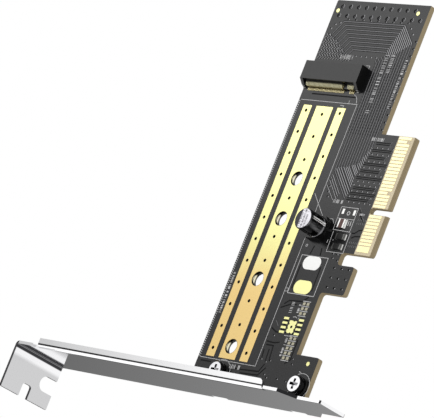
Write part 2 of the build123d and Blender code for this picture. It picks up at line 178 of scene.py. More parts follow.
world = bpy.data.worlds.new("studio")
world.use_nodes = True
world.node_tree.nodes.clear()
sky = Wire(world.node_tree)
towards = sky.make("ShaderNodeTexCoord", output="Generated")
side, depth, height = [sky.make("ShaderNodeSeparateXYZ", {}, {0: towards}, n) for n in range(3)]
behind = depth.ramp(*BEHIND)
band = height.ramp(*BAND_RISE, FRONT_ROOM, FRONT_BAND)
front_room = band + height.ramp(*TOP_FALL) * (FRONT_TOP - FRONT_BAND)
back_room = height.ramp(*BACK_FALL, BACK_ROOM, BACK_DIM) * height.ramp(*TOP_FALL, 1.0, BACK_TOP)
room = front_room + behind * (back_room - front_room)
above = height.ramp(*ABOVE)
bend = above * side.fall(*BEND_SIDE) * depth.fall(*BEND_DEPTH)
front_flag = above * side.ramp(*FRONT_FLAG_FROM) * side.fall(*FRONT_FLAG_TO)
front_flag = front_flag * depth.fall(*FRONT_FLAG_DEPTH)
back_flag = above * side.ramp(*BACK_FLAG_FROM) * side.fall(*BACK_FLAG_TO)
back_flag = back_flag * depth.ramp(*BACK_FLAG_DEPTH)
belt = 1 - height.ramp(*BELT_FROM) * height.fall(*BELT_TO) * BELT_DIM
shaped = room * belt + bend * (BEND_WHITE - room)
flagged = shaped * (1 - (1 - FLAG) * (front_flag + back_flag))
camera_ray = sky.make("ShaderNodeLightPath", output="Is Camera Ray")
strength = camera_ray + (1 - camera_ray) * flagged
glow = sky.make("ShaderNodeBackground", {}, {"Color": (1, 1, 1, 1), "Strength": strength})
sky.make("ShaderNodeOutputWorld", {}, {"Surface": glow})
bpy.context.scene.world = world
bpy.context.scene.view_settings.view_transform = "Standard"
print("world:", len(sky.tree.nodes), "nodes")

# %% [markdown]
# In a photograph of a flat glossy board, one end often catches a lamp and the other doesn't. One
# square softbox does that here. It stands where the camera's line of sight would go if the front
# face were a mirror, and it is aimed at the end that is far from the bracket.

# %% Softbox
MIRROR_OF_FRONT = (0.2155, -0.6377, 0.7395)
FAR_END = (0.052, 0, 0.022)
SOFTBOX_DISTANCE = 0.3
SOFTBOX_SIDE = 0.1
SOFTBOX_GLOW = 0.96

panel = bpy.data.lights.new("far_softbox", "AREA")
panel.shape = "RECTANGLE"
panel.size = panel.size_y = SOFTBOX_SIDE
panel.energy = SOFTBOX_GLOW * math.pi * SOFTBOX_SIDE * SOFTBOX_SIDE
softbox = bpy.data.objects.new("far_softbox", panel)
aim = Vector(MIRROR_OF_FRONT).normalized()
softbox.location = Vector(FAR_END) + aim * SOFTBOX_DISTANCE
softbox.rotation_euler = aim.to_track_quat("Z", "X").to_euler()
bpy.context.scene.collection.objects.link(softbox)
softbox.visible_camera = False

# %% [markdown]
# Every finish starts the same way: a Principled shader whose even numbers sit on its own sockets,
# and whose colour and roughness vary a little with the place on the card. Places are counted in
# millimetres, so that the size of a scratch or a grain can be written as it is.

# %% A finish


class Finish(Wire):
    """A material in the making: place in millimetres, noise, and the shader at its end."""

    def __init__(self, name):
        self.material = bpy.data.materials.new(name)
        self.material.use_nodes = True
        super().__init__(self.material.node_tree)
        self.tree.nodes.clear()
        metres = self.make("ShaderNodeTexCoord", output="Object")
        scaled = {0: metres, "Scale": 1000.0}
        self.place = self.make("ShaderNodeVectorMath", {"operation": "SCALE"}, scaled)
        parts = [self.make("ShaderNodeSeparateXYZ", {}, {0: self.place}, n) for n in range(3)]
        self.x, self.y, self.z = parts

    def noise(self, scale, detail=2.0, stretch=(1, 1, 1)):
        """Soft noise, 0 to 1, with this many lumps to a millimetre."""
        stretched = {0: self.place, 1: stretch}
        spot = self.make("ShaderNodeVectorMath", {"operation": "MULTIPLY"}, stretched)
        grain = {"Vector": spot, "Scale": scale, "Detail": detail}
        return self.make("ShaderNodeTexNoise", {}, grain)

    def stripes(self, axis, scale, distortion):
        """Soft stripes that follow each other along an axis."""
        bands = {"Vector": self.place, "Scale": scale, "Distortion": distortion}
        return self.make("ShaderNodeTexWave", {"bands_direction": axis}, bands)

    def normal_along(self, axis):
        """How much the surface faces along X, Y or Z, from -1 to 1."""
        normal = self.make("ShaderNodeNewGeometry", output="Normal")
        return self.make("ShaderNodeSeparateXYZ", {}, {0: normal}, "XYZ".index(axis))

    def bump(self, height, distance):
        """A bump that stands this many millimetres proud where the height is 1."""
        lift = {"Height": height, "Distance": distance / 1000}
        return self.make("ShaderNodeBump", {}, lift)

    def close(self, **sockets):
        """Ends the finish with a Principled shader; socket names use _ for a space."""
        inputs = {name.replace("_", " "): value for name, value in sockets.items()}
        shader = self.make("ShaderNodeBsdfPrincipled", {}, inputs)
        self.make("ShaderNodeOutputMaterial", {}, {"Surface": shader})
        return self.material


def dress(node, material):
    """Gives a node of the frame its finish."""
    slots = nodes[node].data.materials
    if not slots:
        slots.append(material)
    for index in range(len(slots)):
        slots[index] = material


print("a finish has", len(Finish("trial").tree.nodes), "nodes before its shader")
bpy.data.materials.remove(bpy.data.materials["trial"])

# %% [markdown]
# The board is glass cloth in resin under a coat of dark lacquer. The lacquer stops above the
# fingers and at every cut edge, where the resin shows brown with the plies as faint stripes. The
# colour could be painted, but normals and heights already tell the faces apart, so the shader
# picks by them.

# %% Board lacquer and laminate
COAT_DARK, COAT_PALE = rgb(10, 10, 11), rgb(18, 18, 20)
CUT_DARK, CUT_PALE = rgb(134, 119, 90), rgb(162, 146, 113)
RESIN_DARK, RESIN_PALE = rgb(226, 210, 176), rgb(240, 226, 194)
MASK_END_Z = 6.9
TONGUE_NEAR_X, TONGUE_FAR_X = -12.9, 22.3
FLAT = 0.95
RESIN_MATT = 0.62
COAT_SHINE = 0.42

lacquer = Finish("board_lacquer")
facing = abs(lacquer.normal_along("Y")) > FLAT
cloud = lacquer.noise(0.25, 3.0)
grain = lacquer.noise(4.0, 3.0)
plies = lacquer.stripes("Y", 1.6, 0.6)
weave = lacquer.stripes("Z", 1.1, 1.5)
coat = (cloud * 0.6 + grain * 0.4).blend(COAT_DARK, COAT_PALE)
cut = (plies * 0.6 + cloud * 0.4).blend(CUT_DARK, CUT_PALE)
resin = (weave * 0.3 + cloud * 0.7).blend(RESIN_DARK, RESIN_PALE)
on_tongue = (lacquer.z < MASK_END_Z) * (lacquer.x > TONGUE_NEAR_X) * (lacquer.x < TONGUE_FAR_X)
board_tone = facing.blend(cut, on_tongue.blend(coat, resin))
board_matt = RESIN_MATT - facing * (1 - on_tongue) * COAT_SHINE + grain * 0.06
board_lacquer = lacquer.close(Base_Color=board_tone, Roughness=board_matt,
                              Normal=lacquer.bump(grain, 0.012), Specular_IOR_Level=0.44)
dress("pcb", board_lacquer)
print(board_lacquer.name, len(lacquer.tree.nodes), "nodes")

# %% [markdown]
# Gold over nickel is a metal: its colour is the colour of what it reflects. Fingers, pads,
# contacts and tin differ only in tint and shine, so one function makes them, with fine brush
# lines and a little tarnish. The three stripes get their own finish: they are painted warmer
# toward the bracket and, as a painted highlight, paler toward the far end, where the softbox
# lights the board.

# %% Gold and tin
PATCH_SHARE, LINE_SHARE = 0.7, 0.3
BRUSH_LINES = 6.0
WARM_END_X, PALE_END_X = -26.0, -6.0
SLOT_SHADE_Y = (-2.44, -2.27)


def metal(name, pale, deep, rough, brush=(1, 1, 1), tarnish=0.35):
    """A plated metal with brush lines, tarnish and a slightly uneven shine."""
    work = Finish(name)
    patch = work.noise(tarnish, 4.0)
    lines = work.noise(BRUSH_LINES, 3.0, brush)
    colour = (patch * PATCH_SHARE + lines * LINE_SHARE).blend(deep, pale)
    return work.close(Base_Color=colour, Metallic=1.0,
                      Roughness=rough + lines * rough * 0.4 + patch * 0.03,
                      Normal=work.bump(lines, 0.004))


stripe = Finish("stripe_gold")
patch = stripe.noise(0.3, 4.0)
lines = stripe.noise(BRUSH_LINES, 3.0, (0.05, 1, 1))
worn = patch * PATCH_SHARE + lines * LINE_SHARE
warm_gold = worn.blend(rgb(238, 206, 136), rgb(244, 213, 145))
painted_glare_gold = worn.blend(rgb(236, 231, 158), rgb(242, 238, 168))
# Painted highlight: warm gold near the bracket runs to pale, whiter gold at the far end.
stripe_tone = (stripe.x + patch * 6.0).ramp(WARM_END_X, PALE_END_X).blend(warm_gold, painted_glare_gold)
stripe_gold = stripe.close(Base_Color=stripe_tone, Metallic=1.0,
                           Roughness=0.2 + lines * 0.05 + patch * 0.04,
                           Normal=stripe.bump(lines, 0.001))

# The upper contacts lie in the slot's shade, and only their outer bends catch the light
upper = Finish("upper_contact_gold")
shaded = upper.y.fall(*SLOT_SHADE_Y)
bright_gold = upper.noise(0.8).blend(rgb(238, 232, 188), rgb(255, 250, 214))
upper_gold = upper.close(Base_Color=shaded.blend(bright_gold, rgb(9, 9, 7)), Metallic=0.4,
                         Roughness=0.2 + shaded * 0.2)

lower_gold = metal("lower_contact_gold", rgb(204, 194, 154), rgb(176, 164, 122), 0.2)
finger_gold = metal("finger_gold", rgb(255, 247, 200), rgb(250, 236, 176), 0.22, (1, 1, 0.1))
pad_gold = metal("pad_gold", rgb(255, 254, 184), rgb(252, 248, 172), 0.24)
solder_tin = metal("solder_tin", rgb(252, 252, 250), rgb(238, 238, 236), 0.28, tarnish=1.5)
tin_plate = metal("tin_plate", rgb(140, 140, 138), rgb(112, 112, 110), 0.26)
dull_tin = metal("dull_tin", rgb(214, 210, 190), rgb(176, 170, 146), 0.38)
for node, finish in {
    "thermal_stripes": stripe_gold, "edge_fingers_front": finger_gold,
    "edge_fingers_back": finger_gold, "power_pad_gold": pad_gold, "sighting_marks": pad_gold,
    "driver_pads": pad_gold, "socket_upper_contacts": upper_gold,
    "socket_lower_contacts": lower_gold, "socket_solder_tabs": tin_plate,
    "capacitor_terminals": tin_plate, "power_pad_tinned": solder_tin,
    "ceramic_capacitor_ends": solder_tin, "resistor_ends": tin_plate,
    "spare_part_pads": solder_tin, "chip_pads": dull_tin,
}.items():
    dress(node, finish)
print("gold and tin:", len([m for m in bpy.data.materials if m.name.endswith(("gold", "tin"))]))

# %% [markdown]
# The bracket is one folded sheet of bright steel. Steel this smooth takes its look from the room,
# so the finish itself is nearly even. What it adds is painted light at known places: a dark band
# along the tab, a painted reflection of a rounder fold, with a thin painted highlight in it; the
# tab painted grey away from the fold; grey painted reflections on the tab's cut rims; and dark
# painted reflections on the cut ends of the tail and the flange.

# %% Bracket steel
TAB_UNDERSIDE_Z = 106.9
TAB_GLINT_X = (-60.8, -59.4)
FOLD_REFLECTION_X, FOLD_HIGHLIGHT_X = (-58.4, -58.1), (-57.36, -57.24)
TAIL_TOP_Z, FLANGE_CUT_Z = 0.5, (6.2, 8.5)
UPRIGHT, DOWNWARD, CUT_SLOPE = 0.5, -0.3, (0.3, 0.95)

steel = Finish("bracket_steel")
upward = steel.normal_along("Z")
patch = steel.noise(0.03, 4.0)
lines = steel.noise(BRUSH_LINES, 3.0, (0.6, 0.6, 0.02))
worn = patch * PATCH_SHARE + lines * LINE_SHARE
sheet_tone = worn.blend(rgb(246, 246, 247), rgb(252, 252, 253))
on_tab = steel.z > TAB_UNDERSIDE_Z
# Painted highlight: the tab is grey away from the fold and as bright as the sheet near it.
tab_painted_glint = steel.x.ramp(*TAB_GLINT_X).blend(rgb(208, 208, 209), sheet_tone)
# Painted reflection: a dark band along the fold stands for the bend of a rounder fold.
fold_painted_reflection = steel.x.ramp(*FOLD_REFLECTION_X).blend(tab_painted_glint, rgb(58, 58, 60))
# Painted highlight: a thin light line inside the dark band.
fold_painted_highlight = steel.x.between(*FOLD_HIGHLIGHT_X)
# Painted reflection: the tab's cut rims are painted grey.
rim = (abs(upward) < UPRIGHT) * on_tab
tab_painted_light = rim.blend(fold_painted_highlight.blend(fold_painted_reflection, rgb(150, 150, 152)), rgb(84, 84, 86))
# Painted reflection: the cut ends of the tail and the flange are painted dark.
tail_cut_painted_reflection = (steel.z < TAIL_TOP_Z) * abs(upward).between(*CUT_SLOPE)
flange_cut_painted_reflection = steel.z.between(*FLANGE_CUT_Z) * (upward < DOWNWARD)
steel_tone = (tail_cut_painted_reflection + flange_cut_painted_reflection).blend(on_tab.blend(sheet_tone, tab_painted_light), rgb(44, 44, 46))
bracket_steel = steel.close(Base_Color=steel_tone, Metallic=1.0,
                            Roughness=0.05 + lines * 0.02 + patch * 0.03,
                            Normal=steel.bump(lines, 0.0002))
dress("bracket", bracket_steel)
print(bracket_steel.name, len(steel.tree.nodes), "nodes")

# %% [markdown]
# Both screws share one material, so it has to find each head's axis by itself. It takes the lower
# one's place or the upper one's, by height, and works out the distance. The heads have pale tops,
# flanks painted dark as a painted reflection of the board, a grey line at the foot, and a pale
# spot as a painted highlight where the light reaches the middle of the recess.

# %% Screw heads
HEAD_TOP_Y, HEAD_FOOT_Y = -2.9, -1.15
SCREW_X, SCREW_LOW_Z, SCREW_HIGH_Z = -51.1, 8.35, 39.5
BETWEEN_SCREWS_Z = 24.0
RECESS_MIDDLE = 0.8

screw = Finish("screw_steel")
screw_z = SCREW_LOW_Z + (screw.z > BETWEEN_SCREWS_Z) * (SCREW_HIGH_Z - SCREW_LOW_Z)
off_x, off_z = screw.x - SCREW_X, screw.z - screw_z
from_axis = screw.math("SQRT", off_x * off_x + off_z * off_z)
head_top = (abs(screw.normal_along("Y")) > FLAT) * (screw.y < HEAD_TOP_Y)
recess_middle = (from_axis < RECESS_MIDDLE) * (screw.y > HEAD_TOP_Y)
# Painted reflection: the flanks are painted near-black, as the board would look in chrome.
painted_flank_reflection = (screw.y > HEAD_FOOT_Y).blend(rgb(24, 24, 25), rgb(150, 150, 150))
inner_tone = recess_middle.blend(painted_flank_reflection, rgb(240, 240, 242))
top_tone = screw.noise(0.5, 3.0).blend(rgb(236, 236, 238), rgb(252, 252, 253))
screw_steel = screw.close(Base_Color=head_top.blend(inner_tone, top_tone),
                          Metallic=1 - recess_middle, Roughness=0.06 + screw.noise(2.0) * 0.04)
dress("bracket_screws", screw_steel)
print(screw_steel.name, len(screw.tree.nodes), "nodes")

# %% [markdown]
# The capacitor's can is drawn aluminium: a white top with one dark segment, and flanks painted
# dark as a painted reflection of the board, with narrow bright streaks along them as painted
# highlights, a grey painted sheen and a grey painted highlight at the foot. The solid's facets
# would break such a streak into a zigzag if it followed the normal, so the streaks follow the
# place round the can's axis instead.

# %% Capacitor can
CAN_TOP_Y, CAN_FOOT_Y = -8.1, (-3.05, -2.95)
CAN_AXIS_X, CAN_AXIS_Z, CAN_RADIUS = -7.05, 22.3, 3.15
SEGMENT_Z = 23.3
THIN_STREAK, WIDE_STREAK, SHEEN = (0.14, 0.22), (0.28, 0.42), (-0.62, -0.05)
STREAK_FADE_Y = (-8.3, -7.4)

can = Finish("can_metal")
can_x = (can.x - CAN_AXIS_X) * (1 / CAN_RADIUS)
can_z = (can.z - CAN_AXIS_Z) * (1 / CAN_RADIUS)
can_cloud = can.noise(0.6, 3.0, (1, 0.2, 1))
lower_half = can_z < 0.0
# Painted highlights: two bright streaks down the lower flank.
streak_highlights = can_x.between(*THIN_STREAK) + can_x.between(*WIDE_STREAK)
streak_highlights = streak_highlights * lower_half * can.y.ramp(*STREAK_FADE_Y)
# Painted sheen: a grey patch on the lower flank.
sheen = can_x.between(*SHEEN, 0.12) * lower_half * can_cloud.ramp(0.3, 0.7)
# Painted reflection: the rest of the flank is near-black, as the board would look in it.
flank = streak_highlights.blend(sheen.blend(rgb(26, 26, 28), rgb(128, 128, 130)), rgb(250, 250, 250))
# Painted highlight: a grey line at the can's foot.
foot_highlight = can.y.between(*CAN_FOOT_Y, 0.03)
flank = foot_highlight.blend(flank, rgb(150, 150, 152))
top = can_cloud.blend(rgb(224, 222, 228), rgb(240, 239, 244))
top = (can.z > SEGMENT_Z).blend(top, rgb(70, 69, 74))
on_top = (can.y < CAN_TOP_Y) * (abs(can.normal_along("Y")) > FLAT)
can_metal = can.close(Base_Color=on_top.blend(flank, top), Metallic=1 - streak_highlights * 0.7 - sheen * 0.9,
                      Roughness=0.05 + can_cloud * 0.03)
dress("capacitor_can", can_metal)
print(can_metal.name, len(can.tree.nodes), "nodes")

# %% [markdown]
# The plastics are dark and slightly glossy. Moulded plastic is never quite smooth: a fine bump
# breaks the highlight, and the colour drifts a little. Ceramic, ink and the lacquer over copper
# are made the same way, with their own tints and grains.

# %% Plastics, ceramic, ink and lacquers


def moulded(name, dark, light, rough, grain_size=3.0, depth=0.004, gloss=0.5):
    """Moulded plastic, ceramic or ink: a drifting colour and a fine grain."""
    work = Finish(name)
    drift = work.noise(0.4, 2.0)
    fine = work.noise(grain_size, 3.0)
    colour = (drift * 0.5 + fine * 0.5).blend(dark, light)
    return work.close(Base_Color=colour, Roughness=rough + fine * 0.12,
                      Normal=work.bump(fine, depth), Specular_IOR_Level=gloss)


socket_plastic = moulded("socket_plastic", rgb(6, 6, 6), rgb(12, 12, 12), 0.24, depth=0.001)
base_plastic = moulded("base_plastic", rgb(5, 5, 5), rgb(11, 11, 11), 0.2, depth=0.001)
resistor_black = moulded("resistor_black", rgb(8, 8, 8), rgb(16, 16, 16), 0.35)
ceramic_brown = moulded("ceramic_brown", rgb(86, 62, 58), rgb(120, 90, 84), 0.45, 1.5)
white_print = moulded("white_print", rgb(206, 206, 206), rgb(238, 238, 238), 0.6, 5.0, 0.006)
print_grey = moulded("print_grey", rgb(146, 144, 150), rgb(172, 170, 176), 0.5)
trace_lacquer = moulded("trace_lacquer", rgb(108, 108, 110), rgb(132, 132, 134), 0.4)
# Painted highlight: the bright lines where traces turn, and the herringbone's links.
fan_highlight_lacquer = moulded("fan_highlight_lacquer", rgb(164, 164, 166), rgb(196, 196, 198), 0.4)
# Painted highlight: the pale lips of vias and the pale arcs at the far end's holes.
painted_highlight_lacquer = moulded("painted_highlight_lacquer", rgb(168, 168, 170), rgb(204, 204, 206), 0.4)
# Dark lacquer for real gaps beside traces, and for painted shadows and painted shade.
gap_and_shade_lacquer = moulded("gap_and_shade_lacquer", rgb(8, 8, 9), rgb(14, 14, 15), 0.45, gloss=0.16)
# Painted shade: near-black for the insides of small holes and vias.
hole_shade_dark = moulded("hole_shade_dark", rgb(4, 4, 4), rgb(10, 10, 10), 0.5, gloss=0.15)
for node, finish in {"socket_housing": socket_plastic, "capacitor_base": base_plastic,
                     "ceramic_capacitor_body": ceramic_brown,
                     "resistor_bodies": resistor_black}.items():
    dress(node, finish)
print("dressed nodes:", len([o for o in nodes.values() if o.data.materials]))

# %% [markdown]
# Drilled holes are lined. The standoff holes have bright plating, cream on the wall that faces
# the light and dark round the rest. The holes at the far end look black at the mouth and pale
# inside. Lamps could not be aimed into holes this small, so both finishes carry the light's place
# in their colour.

# %% Linings
CREAM_FROM, CREAM_FULL = 0.78, 0.98
MOUTH_Y, INSIDE_Y = -0.62, -0.34

plated = Finish("hole_plating")
cream = (plated.noise(1.5) * 0.1 - plated.normal_along("Z")).ramp(CREAM_FROM, CREAM_FULL)
hole_plating = plated.close(Base_Color=cream.blend(rgb(18, 16, 12), rgb(250, 244, 214)),
                            Metallic=1.0, Roughness=0.18 + cream * 0.04)

lining = Finish("end_lining")
inside = lining.y.ramp(MOUTH_Y, INSIDE_Y)
inside_tone = lining.noise(0.7).blend(rgb(150, 150, 152), rgb(186, 186, 188))
end_lining = lining.close(Base_Color=inside.blend(rgb(6, 6, 6), inside_tone),
                          Roughness=0.4 + inside * 0.2, Specular_IOR_Level=0.2)
print(hole_plating.name, "and", end_lining.name, "ready")

# %% [markdown]
# The thin things on the board, from traces to print, are flat strips, dots and rings that stand a
# few hundredths of a millimetre proud. Curves with a bevel would do it too, but closed strips
# with mitred corners take fewer faces, and keep their width wherever the line turns.

# %% Strips, dots and rings on the board
FRONT = -0.8
BACK = 0.8
BURIED = 0.01


def across(points, index, closed):
    """The sideways step at one point of a line, lengthened where the line turns."""
    here = Vector(points[index])
    last = len(points) - 1
    before = Vector(points[index - 1]) if index or closed else None
    after = Vector(points[(index + 1) % (last + 1)]) if index < last or closed else None
    sides = []
    if before is not None:
        way = (here - before).normalized()
        sides.append(Vector((-way.y, way.x)))
    if after is not None:
        way = (after - here).normalized()
        sides.append(Vector((-way.y, way.x)))
    middle = sum(sides, Vector((0, 0))).normalized()
    return middle / max(middle.dot(sides[0]), 0.5)


def rings_to_skin(sheet, rings, closed):
    """Joins rings of four points each into one closed skin."""
    made = [[sheet.verts.new(corner) for corner in ring] for ring in rings]
    pairs = list(zip(made, made[1:])) + ([(made[-1], made[0])] if closed else [])
    for one, two in pairs:
        for k in range(4):
            sheet.faces.new((one[k], one[(k + 1) % 4], two[(k + 1) % 4], two[k]))
    if not closed:
        sheet.faces.new(made[0])
        sheet.faces.new(reversed(made[-1]))


def strip(sheet, points, width, lift, face=FRONT, closed=False):
    """A strip along points (x, z) of the board, in millimetres, with slightly sloping sides."""
    out = -1 if face < 0 else 1
    low, high = face - out * BURIED, face + out * lift
    rings = []
    for index, (x, z) in enumerate(points):
        step = across(points, index, closed)
        wide, narrow = step * (width / 2), step * (width / 2 - min(lift, width * 0.2))
        rings.append([(x - wide.x, low, z - wide.y), (x - narrow.x, high, z - narrow.y),
                      (x + narrow.x, high, z + narrow.y), (x + wide.x, low, z + wide.y)])
    rings_to_skin(sheet, rings, closed)


def tube(sheet, x, z, outer, inner, near, far, sides=16):
    """A closed ring about a hole, from one depth to another."""
    rings = []
    for k in range(sides):
        turn = 2 * math.pi * k / sides
        c, s = math.cos(turn), math.sin(turn)
        rings.append([(x + outer * c, near, z + outer * s), (x + outer * c, far, z + outer * s),
                      (x + inner * c, far, z + inner * s), (x + inner * c, near, z + inner * s)])
    rings_to_skin(sheet, rings, True)


def dot(sheet, x, z, radius, lift, face=FRONT, sides=10):
    """A low round button on the board."""
    out = -1 if face < 0 else 1
    turns = [2 * math.pi * k / sides for k in range(sides)]
    rims = []
    for size, y in ((radius, face - out * BURIED), (radius * 0.8, face + out * lift)):
        rim = [(x + size * math.cos(t), y, z + size * math.sin(t)) for t in turns]
        rims.append([sheet.verts.new(corner) for corner in rim])
    foot, top = rims
    for k in range(sides):
        after = (k + 1) % sides
        sheet.faces.new((foot[k], foot[after], top[after], top[k]))
    sheet.faces.new(foot)
    sheet.faces.new(reversed(top))


def place(sheet, name, finish, smooth=False):
    """Turns a sheet of millimetres into a piece of the card, in metres."""
    bmesh.ops.recalc_face_normals(sheet, faces=sheet.faces)
    bmesh.ops.scale(sheet, vec=(0.001, 0.001, 0.001), verts=sheet.verts)
    mesh = bpy.data.meshes.new(name)
    sheet.to_mesh(mesh)
    sheet.free()
    mesh.materials.append(finish)
    for polygon in mesh.polygons:
        polygon.use_smooth = smooth
    piece = bpy.data.objects.new(name, mesh)
    bpy.context.scene.collection.objects.link(piece)
    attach(piece, "root")
    print(name, len(mesh.polygons), "faces")


# %% [markdown]
# Copper under lacquer shows as fine ridges, paler than the rest, with darker gaps along them. At
# the far end eight traces nest round each other. Four more start beside the socket, and all
# twelve run down the board's lower side as one band, to the foot of the fan over the fingers.
# Each line is worked out from its number, the way a layout tool routes a bus.

# %% The band of traces
RINGS = 8
BAND = 12
END_X, END_STEP = 54.2, 1.18
BAND_Z, BAND_STEP = 15.4, 0.95
LEFT_Z, LEFT_STEP = 44.4, 1.08
CORNER_Z, CORNER_STEP = 20.7, 0.45
SOCKET_X, SOCKET_STEP = 45.6, 0.5
END_HOOK_X, END_HOOK_Z = 3.9, 2.8
FAN_FOOT = [(17.5, 15.0), (15.3, 15.5), (13.1, 16.1), (11.1, 16.8), (10.3, 17.0), (9.4, 17.4),
            (8.36, 17.6), (6.6, 17.3), (6.0, 17.45), (4.68, 17.3), (4.0, 17.6), (2.64, 18.2)]
GAP_WIDTH, GAP_LIFT = 0.66, 0.006
TRACE_WIDTH, TRACE_LIFT = 0.31, 0.022


def bus_line(k):
    """One trace of the band, from the far end or the socket's corner to the fan's foot."""
    x = END_X - END_STEP * k
    z = BAND_Z + BAND_STEP * k
    fan_top = (FAN_FOOT[k][0] + z - FAN_FOOT[k][1], z)
    if k < RINGS:
        corner = CORNER_Z + CORNER_STEP * k
        left = LEFT_Z - LEFT_STEP * k
        hook = (x - END_HOOK_X, left + END_HOOK_Z)
        head = [hook, (x, left), (x, corner), (x - (corner - z), z)]
    else:
        start = SOCKET_X - SOCKET_STEP * k
        head = [(start + 3.2, z + 0.9), (start + 2.3, z)]
    return head + [fan_top, FAN_FOOT[k]]


gaps = bmesh.new()
traces = bmesh.new()
bus_lines = [bus_line(k) for k in range(BAND)]
for line in bus_lines:
    strip(gaps, line, GAP_WIDTH, GAP_LIFT)
    strip(traces, line, TRACE_WIDTH, TRACE_LIFT)
print("band lines:", len(bus_lines))

# %% [markdown]
# Where the band turns, its lines run diagonally, and there they catch the light. Brighter lacquer
# on the same traces would leave wide gaps, so bright lines are drawn over both turns as painted
# highlights, evenly spaced between each trace and the next, with a few more beside the fan. Short
# dark hatches break up the straight part.

# %% Bright diagonals and hatches
DIAGONAL_GAP = 0.6
FAN_WIDTH, FAN_LIFT = 0.2, 0.024
FAN_SIDE = [((7.4, 26.4), (2.1, 21.2)), ((8.2, 26.2), (2.9, 21.0)), ((9.0, 26.0), (3.7, 20.8)),
            ((5.9, 26.7), (1.7, 22.35))]
SIDE_GAP_WIDTH = 0.5
HATCH_FROM_X, HATCH_TO_X, HATCH_STEP = 21.5, 43.0, 0.9
HATCH_HALF_X, HATCH_HALF_Z, HATCH_WIDTH = 0.18, 0.16, 0.14
SHADE_LIFT = 0.012

fan = bmesh.new()


def segments(first, last, lines):
    """The stretch between two of each line's points, paired with the next line's."""
    parts = [tuple(Vector(point) for point in line[first:last]) for line in lines]
    return list(zip(parts, parts[1:]))


for first, second in segments(2, 4, bus_lines[:RINGS]) + segments(-2, None, bus_lines):
    jump = second[0] - first[0]
    count = max(1, round(abs(jump.x - jump.y) / math.sqrt(2) / DIAGONAL_GAP))
    for n in range(count):
        line = [tuple(a.lerp(b, n / count)) for a, b in zip(first, second)]
        strip(fan, line, FAN_WIDTH, FAN_LIFT)
for line in FAN_SIDE:
    strip(gaps, line, SIDE_GAP_WIDTH, GAP_LIFT)
    strip(fan, line, FAN_WIDTH, FAN_LIFT)
hatch_x = HATCH_FROM_X
while hatch_x < HATCH_TO_X:
    for k in range(BAND):
        z = BAND_Z + BAND_STEP * (k + 0.5)
        hatch = [(hatch_x + end * HATCH_HALF_X, z + end * HATCH_HALF_Z) for end in (-1, 1)]
        strip(gaps, hatch, HATCH_WIDTH, SHADE_LIFT)
    hatch_x += HATCH_STEP
print("bright lines so far:", len(fan.faces) // 6)

# %% [markdown]
# Beyond the socket the short links between layers make a herringbone, each bright link with a
# painted shadow, a dark strip, just below it. Rows of tented vias stand between the traces. A
# via under lacquer is a dimple with one lip that catches the light, so each gets a dark dot as
# painted shade and a smaller pale one beside it as a painted highlight, which costs far fewer
# faces than a real dimple.

# %% Herringbone and vias
VIA_LIFT, LIP_LIFT, LIP_ASIDE = 0.03, 0.034, 0.1
LINK_FROM_X, LINK_TO_X, LINK_TOP_Z = 42.8, 50.3, 49.3
LINK_STEP_X, LINK_STEP_Z = 0.78, 1.05
LINK_EDGE_X, LINK_EDGE_Z, LINK_EDGE_SLOPE = 42.4, 35.2, 1.55
LINK_HALF, LINK_LEAN, LINK_SHADE = 0.3, 0.34, 0.36
SMALL_VIA, CORNER_VIA = 0.22, 0.26
# Straight rows: first place, steps, how many, size and lip
VIA_ROWS = [(54.95, 43.2, 0.0, -2.93, 9, 0.3, 0.5), (49.7, 14.25, -2.2, 0.0, 13, 0.34, 0.5),
            (44.1, 34.9, 0.0, -2.0, 5, SMALL_VIA, 0.9)]
CORNER_VIAS = [(53.8, 45.9), (53.2, 47.6), (51.9, 48.7), (50.1, 48.4), (53.5, 18.1), (51.8, 16.6)]
FINGER_VIAS = [(18.1, 13.6), (16.1, 14.6), (14.0, 14.9), (12.1, 15.8), (10.0, 16.4), (8.0, 16.0),
               (6.9, 17.0), (5.15, 17.0), (3.5, 17.0), (1.85, 16.6)]
FINGER_VIA_END_Z, FINGER_VIA_STEP = 7.4, 2.05

dimples = bmesh.new()
lip_highlights = bmesh.new()


def via(x, z, size, lip=0.9):
    """A tented via: painted shade, and on the front a painted highlight of this share of its size.
    """
    dot(dimples, x, z, size, VIA_LIFT)
    dot(dimples, x, z, size, VIA_LIFT, BACK, 8)
    dot(lip_highlights, x - LIP_ASIDE, z - size * 1.5, size * lip, LIP_LIFT, FRONT, 8)


row = 0
x = LINK_FROM_X
while x < LINK_TO_X:
    edge = LINK_EDGE_Z + (x - LINK_EDGE_X) * LINK_EDGE_SLOPE
    z = LINK_TOP_Z - 0.5 * (row % 2)
    while z > edge:
        lean = LINK_LEAN if row % 2 else -LINK_LEAN
        link = [(x - LINK_HALF, z - lean), (x + LINK_HALF, z + lean)]
        # Painted shadow: a dark strip just below each bright link.
        shade = [(x, z - LINK_SHADE) for x, z in link]
        strip(fan, link, 0.18, TRACE_LIFT)
        strip(gaps, shade, 0.3, SHADE_LIFT)
        z -= LINK_STEP_Z
    x += LINK_STEP_X
    row += 1
for x, z, step_x, step_z, count, size, lip in VIA_ROWS:
    for k in range(count):
        via(x + step_x * k, z + step_z * k, size, lip)
for x, z in CORNER_VIAS:
    via(x, z, CORNER_VIA)
for x, z in FINGER_VIAS:
    while z > FINGER_VIA_END_Z:
        via(x, z, SMALL_VIA)
        z -= FINGER_VIA_STEP
print("herringbone rows:", row, "vias:", len(lip_highlights.faces) // 10)

# %% [markdown]
# Pairs of traces carry on from the fan's foot to the fingers. On a real card both lines of such a
# pair stay together, to keep their signals in step. Seen from this far only the gaps beside them
# show, so each pair is two dark strips, with a short bent link at its end. On the bracket's side
# of the key there are short rungs and three slanting links.

